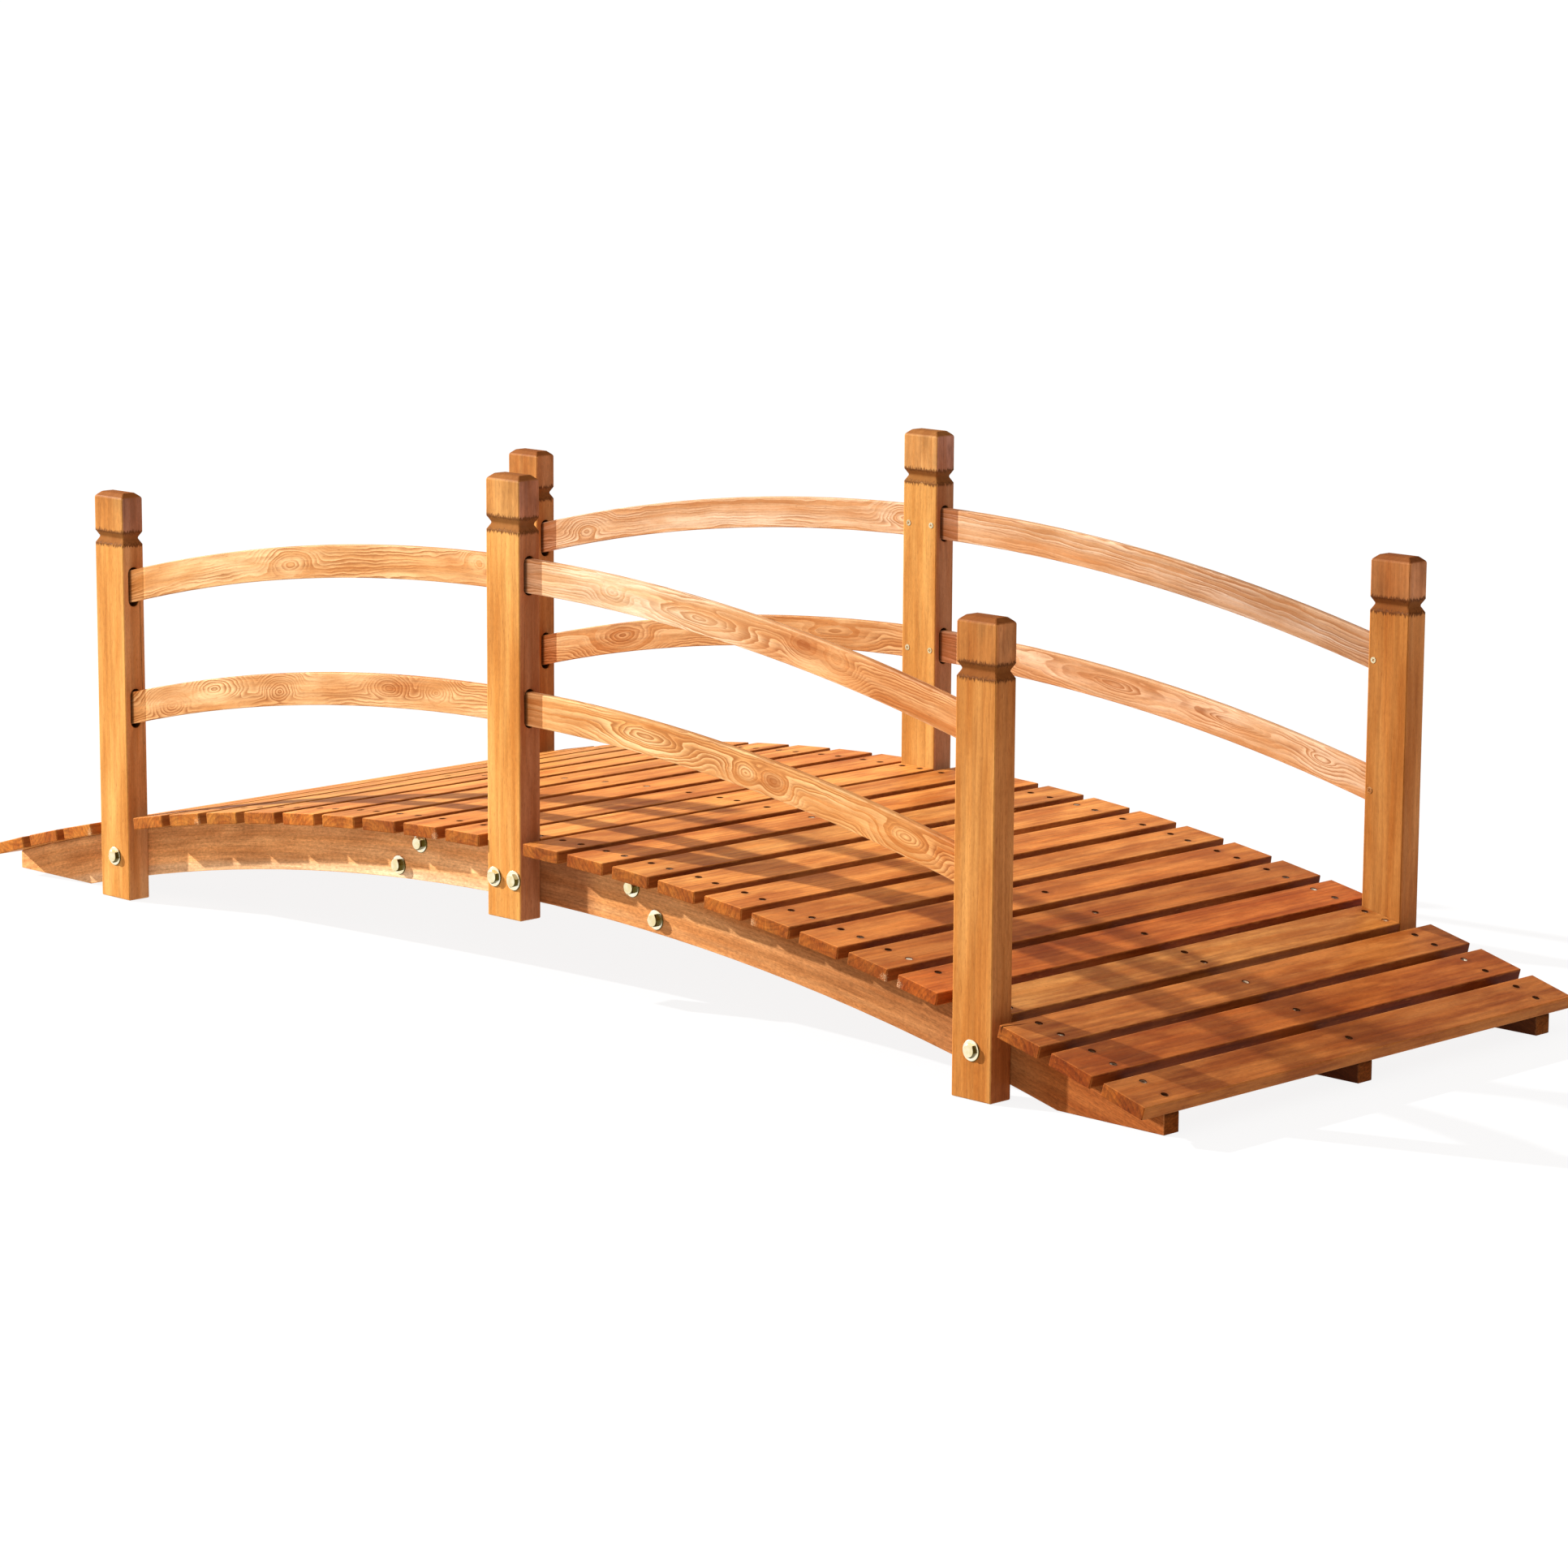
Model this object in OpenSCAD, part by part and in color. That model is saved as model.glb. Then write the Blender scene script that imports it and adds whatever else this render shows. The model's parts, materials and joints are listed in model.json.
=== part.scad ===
// Arched garden bridge with slatted deck, three stringers and curved side rails.
// X runs along the bridge, Y across it and Z up. The origin is on the ground under the middle.

/* [Deck] */
// Length of the bridge over its end boards
deck_length = 2000; // [1900:10:2300]
// Radius of the walking surface
deck_r = 3510; // [3200:10:4500]
// Width of a deck board along the bridge
board_w = 60; // [54:1:66]
// Gap on each side of the middle board
middle_gap = 9; // [4:1:16]
// Thickness of a deck board
board_t = 15; // [12:0.5:20]
// Overhang of a full board beyond the outer stringers
board_over = 37.5; // [20:0.5:60]

/* [Stringers] */
// Width over the outer faces of the two outer stringers
frame_w = 680; // [600:2:780]
// Depth of a stringer, measured along the arch's radius
stringer_d = 62; // [54:1:72]
// Thickness of a stringer
stringer_t = 24; // [18:1:32]
// Height of the upright cut at each toe
toe_h = 23; // [15:1:35]
// How far a toe stops short of the last board's edge
toe_set = 5; // [0:1:12]
// Reach of a splice plate to each side of the middle
splice_reach = 260; // [240:5:320]
// Thickness of a splice plate
splice_t = 18; // [12:1:24]
// Margin of a splice plate inside the stringer's two edges
splice_margin = 4; // [2:1:8]

/* [Posts] */
// Post width along the bridge
post_w = 58; // [50:1:66]
// Post depth across the bridge
post_d = 32; // [28:1:42]
// Height of an end post above the deck beside it
end_rise = 425; // [400:5:480]
// Height of a middle post above the deck beside it
middle_rise = 431; // [400:1:480]
// How far a middle post hangs below its stringer
post_drop = 19; // [5:1:30]
// Height of the square head above the groove
head_h = 44; // [36:1:52]
// Height of the V groove at the post's face
groove_h = 16; // [10:1:22]
// Depth of the V groove
groove_d = 4.5; // [2:0.5:7]
// Height of the bevel round the top
bevel_h = 6; // [3:0.5:10]
// Inset of the bevel at the top
bevel_in = 7; // [3:0.5:10]

/* [Rails] */
// Radius of a rail's top edge
rail_r = 3000; // [2600:50:4000]
// Height of a rail's section
rail_h = 40; // [32:1:46]
// Thickness of a rail
rail_t = 10; // [6:0.5:14]
// Top of the upper rail above the deck, at the middle
upper_rise = 334; // [310:2:350]
// Top of the lower rail above the deck, at the middle
lower_rise = 177; // [150:1:220]
// Depth of a mortise in a post's side
mortise_deep = 12; // [8:1:18]
// Room beside a rail in its mortise
mortise_play = 3; // [1:0.5:5]
// Room above and below a rail's corners in its mortise
mortise_room = 1; // [0.5:0.5:5]

/* [Hidden] */
$fn = 180;
over = 1;
bay_boards = 10;
end_boards = 3;
half_boards = bay_boards + end_boards;
middle_number = half_boards + 1;
board_count = half_boards + middle_number;

FRONT_BACK = [["front", -1], ["back", 1]];
LEFT_RIGHT = [["left", -1], ["right", 1]];
POST_PLACES = [["left", -1], ["middle", 0], ["right", 1]];
STRINGER_ROWS = [["front", -1], ["centre", 0], ["back", 1]];
RAIL_LEVELS = [["upper", upper_rise], ["lower", lower_rise]];

post_color = "#d69a4e";
rail_color = "#d9a36c";
deck_color = "#b8703a";
beam_color = "#a8713f";

// The middle board has its own gap, and the boards beyond it lie at equal steps, in degrees along the arch
first_deg = (board_w + middle_gap) / deck_r * 180 / PI;
last_deg = asin(deck_length / 2 / norm([deck_r, board_w / 2])) - atan2(board_w / 2, deck_r);
step_deg = (last_deg - first_deg) / (half_boards - 1);
board_len = frame_w + 2 * board_over;
toe_x = deck_length / 2 - toe_set;

// The stringers' top edge carries the boards, and its toe height sets the arch's centre
stringer_top_r = deck_r - board_t;
stringer_low_r = stringer_top_r - stringer_d;
arch_z = toe_h - sqrt(pow(stringer_top_r, 2) - pow(toe_x, 2));
crown_z = arch_z + deck_r;
stringer_y = (frame_w - stringer_t) / 2;

// Posts stand against the outer stringers, at the short boards
post_deg = place_deg(bay_boards);
post_x = deck_r * sin(post_deg);
post_y = (frame_w + post_d) / 2;
post_deck_z = arch_z + deck_r * cos(post_deg);

// Rails run from mortise bottom to mortise bottom, along the middle of the posts' depth
rail_near = post_w / 2 - mortise_deep;
rail_far = post_x - post_w / 2 + mortise_deep;
mortise_w = rail_t + 2 * mortise_play;
corner_room = (mortise_w - sqrt(pow(mortise_w, 2) - pow(rail_t, 2))) / 2;

// Angle of a board on the arch by its place, counted from the middle
function place_deg(place) = sign(place) * (first_deg + (abs(place) - 1) * step_deg);

// Height of a rail's top edge at a distance from the middle
function rail_top(rise, x) = crown_z + rise - rail_r + sqrt(pow(rail_r, 2) - pow(x, 2));

// Height of a rail's bottom edge at a distance from the middle
function rail_low(rise, x) = crown_z + rise - rail_r + sqrt(pow(rail_r - rail_h, 2) - pow(x, 2));

// Arched bar between two radii and two distances along X, with its thickness centred on y
module arched_bar(r_out, r_in, centre_z, x_from, x_to, y, thick) {
    intersection() {
        translate([0, y + thick / 2, centre_z])
            rotate([90, 0, 0])
                difference() {
                    cylinder(r = r_out, h = thick);
                    translate([0, 0, -over])
                        cylinder(r = r_in, h = thick + 2 * over);
                }
        translate([x_from, y - thick / 2 - over, 0])
            cube([x_to - x_from, thick + 2 * over, r_out]);
    }
}

// Cutter that runs along one side of a post, with its section given inward from the face
module side_cutter(turn, face, run, z, section) {
    rotate([0, 0, turn])
        translate([-face, 0, z])
            rotate([90, 0, 0])
                linear_extrude(height = run + 2 * over, center = true)
                    polygon(section);
}

// Bevel and groove round all four sides of a post's head
module head_cutters(top_z) {
    bevel_rise = bevel_h / bevel_in * over;
    bevel_section = [[-over, -bevel_h - bevel_rise], [bevel_in + over, bevel_rise], [-over, bevel_rise]];
    groove_half = groove_h / 2 * (1 + over / groove_d);
    groove_section = [[-over, -groove_half], [groove_d, 0], [-over, groove_half]];
    groove_z = top_z - bevel_h - head_h - groove_h / 2;
    for (turn = [0, 90, 180, 270]) {
        across = turn % 180 == 0;
        face = (across ? post_w : post_d) / 2;
        run = across ? post_d : post_w;
        side_cutter(turn, face, run, top_z, bevel_section);
        side_cutter(turn, face, run, groove_z, groove_section);
    }
}

// Round-ended mortise for one rail, cut inward from a post's face on the side that way points to
module mortise(rise, way, near_x, far_x) {
    high = rail_top(rise, near_x);
    low = rail_low(rise, far_x);
    straight = high - low + 2 * (corner_room + mortise_room) - mortise_w;
    start = way > 0 ? rail_near : -post_w / 2 - over;
    translate([start, 0, (high + low) / 2])
        rotate([90, 0, 90])
            linear_extrude(height = mortise_deep + over) {
                square([mortise_w, straight], center = true);
                for (end = [-1, 1])
                    translate([0, end * straight / 2])
                        circle(d = mortise_w);
            }
}

// Post on the back side: way is -1 left, 0 middle and 1 right
module back_post(way) {
    middle = way == 0;
    bottom = middle ? arch_z + stringer_low_r - post_drop : 0;
    top = middle ? crown_z + middle_rise : post_deck_z + end_rise;
    near_x = middle ? rail_near : post_x - post_w / 2;
    far_x = middle ? post_w / 2 : rail_far;
    translate([way * post_x, post_y, 0])
        difference() {
            translate([-post_w / 2, -post_d / 2, bottom])
                cube([post_w, post_d, top - bottom]);
            head_cutters(top);
            for (level = RAIL_LEVELS)
                for (face = middle ? [-1, 1] : [-way])
                    mortise(level[1], face, near_x, far_x);
        }
}

module post(side, way) {
    color(post_color)
        mirror([0, side < 0 ? 1 : 0, 0])
            back_post(way);
}

module rail(rise, side, way) {
    color(rail_color)
        arched_bar(rail_r, rail_r - rail_h, crown_z + rise - rail_r,
            way > 0 ? rail_near : -rail_far, way > 0 ? rail_far : -rail_near, side * post_y, rail_t);
}

module stringer(row, way) {
    color(beam_color)
        arched_bar(stringer_top_r, stringer_low_r, arch_z,
            way > 0 ? 0 : -toe_x, way > 0 ? toe_x : 0, row * stringer_y, stringer_t);
}

// Plate across the middle joint of a stringer row, on the side of it that side points to
module splice(row, side) {
    color(beam_color)
        arched_bar(stringer_top_r - splice_margin, stringer_low_r + splice_margin, arch_z,
            -splice_reach, splice_reach, row * stringer_y + side * (stringer_t + splice_t) / 2, splice_t);
}

// Deck board by its place, counted from the middle; those at the posts fit between them
module board(place) {
    length = place % bay_boards == 0 ? frame_w : board_len;
    color(deck_color)
        translate([0, 0, arch_z])
            rotate([0, place_deg(place), 0])
                translate([-board_w / 2, -length / 2, deck_r - board_t])
                    cube([board_w, length, board_t]);
}

for (s = FRONT_BACK)
    for (p = POST_PLACES)
        post(s[1], p[1]);

for (l = RAIL_LEVELS)
    for (s = FRONT_BACK)
        for (e = LEFT_RIGHT)
            rail(l[1], s[1], e[1]);

for (r = STRINGER_ROWS)
    for (e = LEFT_RIGHT)
        stringer(r[1], e[1]);

splice(-1, 1);  // splice_front
splice(0, -1);  // splice_centre_front
splice(0, 1);  // splice_centre_back
splice(1, -1);  // splice_back

for (i = [1 : board_count])
    board(i - middle_number);
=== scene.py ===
import json
import math
import random
from collections import namedtuple

import bmesh
import bpy
from mathutils import Matrix, Vector

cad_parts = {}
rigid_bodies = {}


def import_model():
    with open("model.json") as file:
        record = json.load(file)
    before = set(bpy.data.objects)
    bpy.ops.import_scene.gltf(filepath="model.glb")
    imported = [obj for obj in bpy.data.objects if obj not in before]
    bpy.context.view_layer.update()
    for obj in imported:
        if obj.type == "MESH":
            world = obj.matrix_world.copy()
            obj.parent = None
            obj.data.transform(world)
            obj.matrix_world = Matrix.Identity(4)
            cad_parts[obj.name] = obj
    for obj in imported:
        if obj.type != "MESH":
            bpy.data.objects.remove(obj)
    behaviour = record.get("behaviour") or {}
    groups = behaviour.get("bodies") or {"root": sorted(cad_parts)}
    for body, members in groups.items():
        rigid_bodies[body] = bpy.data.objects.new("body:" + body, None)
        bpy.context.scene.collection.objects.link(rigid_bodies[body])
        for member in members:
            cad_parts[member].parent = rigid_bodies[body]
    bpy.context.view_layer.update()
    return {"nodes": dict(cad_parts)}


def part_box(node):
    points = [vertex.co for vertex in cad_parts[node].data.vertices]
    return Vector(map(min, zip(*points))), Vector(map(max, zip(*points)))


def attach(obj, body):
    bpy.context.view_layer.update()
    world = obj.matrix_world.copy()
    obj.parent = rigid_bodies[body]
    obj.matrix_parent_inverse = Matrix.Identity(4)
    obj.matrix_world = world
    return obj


for leftover in list(bpy.data.objects):
    bpy.data.objects.remove(leftover)

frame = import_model()
nodes = frame["nodes"]

# Sizes in millimetres, the same as the solids have
MM = 0.001
DECK_LENGTH = 2000.0
DECK_R = 3510.0
BOARD_W = 60.0
BOARD_T = 15.0
MIDDLE_GAP = 9.0
BAY_BOARDS = 10
HALF_BOARDS = 13
FRAME_W = 680.0
STRINGER_D = 62.0
STRINGER_T = 24.0
SPLICE_T = 18.0
TOE_H = 23.0
TOE_SET = 5.0
POST_W = 58.0
POST_D = 32.0
HEAD_H = 44.0
GROOVE_H = 16.0
BEVEL_H = 6.0
RAIL_R = 3000.0
RAIL_H = 40.0
RAIL_T = 10.0
UPPER_RISE = 334.0
LOWER_RISE = 177.0
MORTISE_DEEP = 12.0

# Deck screws: distance of the outer rows from the middle, and of a pair's screws from a board's middle line
SCREW_Y = 328.0
SCREW_APART = 15.5

# Angles of the boards on the arch, and its radius and heights
FIRST_ANGLE = (BOARD_W + MIDDLE_GAP) / DECK_R
LAST_ANGLE = (math.asin(DECK_LENGTH / 2 / math.hypot(DECK_R, BOARD_W / 2))
              - math.atan2(BOARD_W / 2, DECK_R))
STEP_ANGLE = (LAST_ANGLE - FIRST_ANGLE) / (HALF_BOARDS - 1)
STRINGER_TOP_R = DECK_R - BOARD_T
ARCH_Z = TOE_H - math.sqrt(STRINGER_TOP_R ** 2 - (DECK_LENGTH / 2 - TOE_SET) ** 2)
CROWN_Z = ARCH_Z + DECK_R


def place_angle(place):
    """Angle of a deck board on the arch, by its place counted from the middle."""
    if place == 0:
        return 0.0
    return math.copysign(FIRST_ANGLE + (abs(place) - 1) * STEP_ANGLE, place)


POST_X = DECK_R * math.sin(place_angle(BAY_BOARDS))

# Camera solved from the photograph: angles in radians, place in metres, and focal length and width in the
# photograph's pixels
CAMERA_AZIMUTH, CAMERA_ELEVATION, CAMERA_ROLL = 0.77952968, 0.17951026, 0.00556536
CAMERA_PLACE = (4.16971, -4.12174, 1.26570)
FOCAL_PIXELS = 5958.686
PHOTO_PIXELS = 1932
SENSOR_WIDTH = 36.0


def make_camera():
    """Camera at the photograph's viewing angle."""
    flat = math.cos(CAMERA_ELEVATION)
    back = Vector((math.sin(CAMERA_AZIMUTH) * flat, -math.cos(CAMERA_AZIMUTH) * flat,
                   math.sin(CAMERA_ELEVATION)))
    right = Vector((math.cos(CAMERA_AZIMUTH), math.sin(CAMERA_AZIMUTH), 0.0))
    up = back.cross(right)
    rolled_right = right * math.cos(CAMERA_ROLL) + up * math.sin(CAMERA_ROLL)
    rolled_up = up * math.cos(CAMERA_ROLL) - right * math.sin(CAMERA_ROLL)
    data = bpy.data.cameras.new("camera")
    data.sensor_width = SENSOR_WIDTH
    data.lens = FOCAL_PIXELS / PHOTO_PIXELS * SENSOR_WIDTH
    data.clip_start, data.clip_end = 0.1, 500.0
    camera = bpy.data.objects.new("camera", data)
    turn = Matrix((rolled_right, rolled_up, back)).transposed()
    camera.matrix_world = Matrix.Translation(CAMERA_PLACE) @ turn.to_4x4()
    bpy.context.scene.collection.objects.link(camera)
    bpy.context.scene.camera = camera


make_camera()


class Graph:
    """One material's shader nodes, with short calls that add and link them."""

    RANGE = ("Value", "From Min", "From Max", "To Min", "To Max")

    def __init__(self, name):
        self.material = bpy.data.materials.new(name)
        self.material.use_nodes = True
        self.tree = self.material.node_tree
        self.tree.nodes.clear()

    def put(self, socket, value):
        if isinstance(value, bpy.types.NodeSocket):
            self.tree.links.new(value, socket)
        else:
            socket.default_value = value

    def node(self, kind, values, **settings):
        made = self.tree.nodes.new("ShaderNode" + kind)
        for key, value in settings.items():
            setattr(made, key, value)
        for key, value in values.items():
            self.put(made.inputs[key], value)
        return made

    def math(self, operation, *values):
        return self.node("Math", dict(enumerate(values)), operation=operation).outputs[0]

    def squares(self, first, second):
        """Sum of two squares."""
        return self.math("MULTIPLY_ADD", first, first, self.math("MULTIPLY", second, second))

    def smooth(self, value, low, high, out_low=0.0, out_high=1.0):
        """Eased step from one result to another while the value goes from low to high."""
        values = dict(zip(self.RANGE, (value, low, high, out_low, out_high)))
        return self.node("MapRange", values, interpolation_type="SMOOTHSTEP").outputs[0]

    def linear(self, value, low, high, out_low, out_high):
        values = dict(zip(self.RANGE, (value, low, high, out_low, out_high)))
        return self.node("MapRange", values, clamp=False).outputs[0]

    def mix(self, share, first, second, blend="MIX"):
        made = self.node("Mix", {0: share, 6: first, 7: second}, data_type="RGBA", blend_type=blend)
        return made.outputs[2]

    def tint(self, share, colour, by):
        """Multiplies a colour by another where share is above 0."""
        return self.mix(share, colour, (*by, 1.0), "MULTIPLY")

    def scale(self, colour, value):
        grey = self.node("CombineColor", {0: value, 1: value, 2: value}).outputs[0]
        return self.mix(1.0, colour, grey, "MULTIPLY")

    def noise(self, vector, detail, rough=0.5):
        values = {"Vector": vector, "Scale": 1.0, "Detail": detail, "Roughness": rough}
        return self.node("TexNoise", values).outputs[0]

    def cloud(self, scale, detail):
        """Even noise, with the given number of features to a metre."""
        place = self.node("TexCoord", {}).outputs["Object"]
        scaled = self.node("VectorMath", {0: place, "Scale": scale}, operation="SCALE")
        return self.noise(scaled.outputs[0], detail)

    def finish(self, values):
        """The material, with a surface that has the given values."""
        shader = self.node("BsdfPrincipled", values)
        self.node("OutputMaterial", {"Surface": shader.outputs[0]})
        return self.material


# Blue falls faster than green as a stain gets redder
BLUE_FALL = 1.6


def rgba(colour, gain=1.0, red=0.0):
    """Colour as four numbers, with its brightness and redness changed."""
    r, g, b = (min(1.0, max(0.0, c * gain)) for c in colour)
    return (r, g * (1 - red), b * (1 - BLUE_FALL * red), 1.0)


# Where a piece's grain runs: centre in metres, turn about Y, the axes along, across and through it, half
# sizes in millimetres, and for an arched piece its arc's centre height and middle radius
Place = namedtuple("Place", "centre turn axes half arc")

# Stained softwood: light and mid are the ground's colours and line that of the rings. The rings have a
# spacing in millimetres, a share of it where the dark part starts, a contrast and a warp. Then come the
# strengths of fibres, flecks, fuzz and blotches, the run of a blotch, the tone of cut ends, the wear of
# edges, roughness and gloss
Look = namedtuple("Look", "light mid line spacing sharp contrast warp fibre fleck fuzz blotch run"
                          " end_gain wear rough gloss")

POST_LOOK = Look(light=(0.57, 0.262, 0.068), mid=(0.43, 0.165, 0.033), line=(0.23, 0.068, 0.014),
                 spacing=7.5, sharp=0.25, contrast=0.20, warp=6.0, fibre=0.14, fleck=0.45, fuzz=0.10,
                 blotch=1.2, run=200.0, end_gain=0.50, wear=0.20, rough=0.52, gloss=0.04)
RAIL_LOOK = Look(light=(0.70, 0.440, 0.215), mid=(0.52, 0.255, 0.092), line=(0.32, 0.115, 0.030),
                 spacing=3.0, sharp=0.20, contrast=0.95, warp=4.4, fibre=0.18, fleck=0.50, fuzz=0.07,
                 blotch=1.3, run=130.0, end_gain=0.60, wear=0.15, rough=0.56, gloss=0.04)
PALE_RAIL_LOOK = RAIL_LOOK._replace(light=(0.72, 0.520, 0.345), mid=(0.57, 0.335, 0.170),
                                    line=(0.37, 0.155, 0.056), contrast=0.90)
DECK_LOOK = Look(light=(0.62, 0.254, 0.062), mid=(0.40, 0.130, 0.027), line=(0.18, 0.044, 0.010),
                 spacing=6.0, sharp=0.30, contrast=0.26, warp=3.5, fibre=0.20, fleck=0.35, fuzz=0.11,
                 blotch=1.5, run=110.0, end_gain=0.66, wear=0.25, rough=0.50, gloss=0.05)
BEAM_LOOK = Look(light=(0.40, 0.172, 0.062), mid=(0.29, 0.108, 0.034), line=(0.14, 0.042, 0.010),
                 spacing=3.4, sharp=0.25, contrast=0.16, warp=4.0, fibre=0.22, fleck=0.45, fuzz=0.30,
                 blotch=1.2, run=150.0, end_gain=0.60, wear=0.20, rough=0.62, gloss=0.03)

# Noise drawn out along the grain: length and width of its features in millimetres, detail, a number that
# tells it from the others, and roughness
Field = namedtuple("Field", "long wide detail salt rough", defaults=(0.5,))
WARP = Field(170.0, 34.0, 2.0, 1)
LOOP_WARP = Field(56.0, 17.0, 2.0, 1)
RIPPLE = Field(28.0, 12.0, 1.0, 2)
PATCHY = Field(110.0, 26.0, 1.0, 3)
BLOTCH = Field(None, 30.0, 3.0, 4, 0.6)
FIBRE = Field(55.0, 0.9, 3.0, 5, 0.62)
STREAK = Field(240.0, 5.5, 2.0, 6)
FLECK = Field(9.0, 0.55, 0.0, 7)
RAGGED_EDGE = Field(16.0, 5.0, 3.0, 9, 0.65)
STAIN = Field(320.0, 18.0, 2.0, 12)
CHIP = Field(6.0, 0.9, 2.0, 14, 0.6)
SCREW_STAIN = Field(14.0, 6.0, 2.0, 15)
FUZZ = Field(6.0, 3.0, 3.0, 16, 0.7)
SCUFF = Field(22.0, 1.6, 2.0, 17, 0.6)
SCUFFED_AREA = Field(90.0, 24.0, 2.0, 18)
FRAY = Field(12.0, 1.7, 3.0, 20, 0.65)
SMEAR = Field(60.0, 30.0, 3.0, 21, 0.6)
RAIL_STAIN = Field(26.0, 5.0, 3.0, 40, 0.65)
TORN_SCALE = (0.3, 0.45, 0.13)

# Share of the rings' contrast that is left where they are faintest
FAINT, LOOP_FAINT = 0.45, 0.15

# Tints, which multiply a colour, and colours of their own
PLAIN = (1.0, 1.0, 1.0)
END_TINT = (1.0, 0.86, 0.60)
BOARD_END_TINT = (0.80, 0.60, 0.32)
BAND_TINT = (0.84, 0.67, 0.50)
STAIN_TINT = (0.90, 0.78, 0.64)
RAIL_STAIN_TINT = (0.72, 0.50, 0.33)
# Painted light that lifts the posts' cast shadows beside the rails' left ends
RAIL_SHADOW_LIFT_TINT, FRONT_LEFT_SHADOW_LIFT_TINT = (1.28, 1.10, 1.05), (1.60, 1.46, 1.25)
# Painted shade on the stringers' sides under the deck
UNDER_DECK_SHADE_TINT = (0.24, 0.19, 0.17)
# Painted shade on the boards' sides that face a gap
GAP_SIDE_SHADE_TINT = (0.52, 0.40, 0.36)
CHIP_COLOUR = (0.54, 0.37, 0.21, 1.0)

# What the fibres, cut ends and torn grooves add to the roughness, and the height of the surface's relief
FIBRE_ROUGH, END_ROUGH, TORN_ROUGH = 0.22, 0.25, 0.35
LINE_HEIGHT, BUMP_STRENGTH, BUMP_METRES = 0.12, 0.25, 0.0004


class Wood:
    """The material of one timber, with grain that runs through its solid."""

    def __init__(self, name, look, place, seed, pith, gain, red, eyes=(), loops=None, end_tint=END_TINT):
        self.look, self.place, self.seed = look, place, seed
        self.gain, self.red, self.end_tint = gain, red, end_tint
        self.knot = self.coarse = None
        self.g = g = Graph(name)
        coords = g.node("TexCoord", {}).outputs
        self.normal = coords["Normal"]
        local = g.node("Mapping", {"Vector": coords["Object"], "Location": place.centre,
                                   "Rotation": (0.0, place.turn, 0.0)}, vector_type="TEXTURE").outputs[0]
        split = g.node("SeparateXYZ", {0: local}).outputs
        self.along, self.across, self.through = (
            g.math("MULTIPLY", split[axis], 1 / MM) for axis in place.axes)
        if place.arc:
            centre_z, middle_r = place.arc
            flat = g.node("VectorMath", {0: coords["Object"], 1: (1 / MM, 0.0, 1 / MM),
                                         2: (0.0, 0.0, -centre_z)}, operation="MULTIPLY_ADD").outputs[0]
            radius = g.node("VectorMath", {0: flat}, operation="LENGTH").outputs["Value"]
            self.across = g.math("SUBTRACT", radius, middle_r)
        self.grain = g.node("CombineXYZ", {0: self.along, 1: self.across, 2: self.through}).outputs[0]
        axis = [0.0, 0.0, 0.0]
        axis[place.axes[0]] = 1.0
        self.end = g.smooth(g.math("ABSOLUTE", self.facing(axis)), 0.55, 0.85)

        looped = loops is not None
        depth = self.looped_depth(pith, loops) if looped else self.ring_depth(pith)
        self.paint_rings(self.rings(depth, eyes, LOOP_WARP if looped else WARP), looped)
        self.paint_fibres()
        self.paint_ends()

    def facing(self, axis):
        """How far the surface faces along an axis, 1 when squarely."""
        dot = self.g.node("VectorMath", {0: self.normal, 1: axis}, operation="DOT_PRODUCT")
        return dot.outputs["Value"]

    def field(self, field):
        """Noise with the features of a field."""
        seed, salt = self.seed, field.salt
        shift = (seed * 7.31 + salt * 13.7, seed * 3.17 + salt * 5.1, seed * 1.93 + salt * 2.3)
        stretch = (1 / field.long, 1 / field.wide, 1 / field.wide)
        vector = self.g.node("VectorMath", {0: self.grain, 1: stretch, 2: shift}, operation="MULTIPLY_ADD")
        return self.g.noise(vector.outputs[0], field.detail, field.rough)

    def swing(self, field):
        """Noise of a field, around 0."""
        return self.g.math("SUBTRACT", self.field(field), 0.5)

    def toned(self, colour, gain=1.0):
        return rgba(colour, self.gain * gain, self.red)

    def tint(self, share, by):
        self.colour = self.g.tint(share, self.colour, by)

    def darken(self, share, gain):
        """Takes the colour towards that of the ring lines where share is above 0."""
        self.colour = self.g.mix(share, self.colour, self.toned(self.look.line, gain))

    def vary(self, noise, spread, strength):
        """Brightens and darkens the colour with a noise that strays from its middle by spread."""
        tone = self.g.linear(noise, 0.5 - spread, 0.5 + spread, 1 - strength, 1 + strength)
        self.colour = self.g.scale(self.colour, tone)

    def patch(self, way, start, stop, by):
        """Tints one side of a place along or across the piece, given in shares of its half size."""
        parts = {"along": (self.along, self.place.half[0]), "across": (self.across, self.place.half[1])}
        part, half = parts[way]
        self.tint(self.g.smooth(part, start * half, stop * half), by)

    def bump_at(self, along, rim, long, wide):
        """A smooth hill, 1 at its middle."""
        g = self.g
        du = g.math("DIVIDE", g.math("SUBTRACT", self.along, along), long)
        dv = g.math("DIVIDE", g.math("SUBTRACT", self.across, rim), wide)
        return g.math("EXPONENT", g.math("MULTIPLY", g.squares(du, dv), -1.0))

    def add_knot(self, core):
        self.knot = core if self.knot is None else self.g.math("MAXIMUM", self.knot, core)

    def ring_depth(self, pith):
        """Distance from the pith, in millimetres."""
        g = self.g
        pith_across, pith_through, lean = pith
        dv = g.math("MULTIPLY_ADD", self.along, -lean, g.math("SUBTRACT", self.across, pith_across))
        dw = g.math("SUBTRACT", self.through, pith_through)
        return g.math("SQRT", g.squares(dv, dw))

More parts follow.
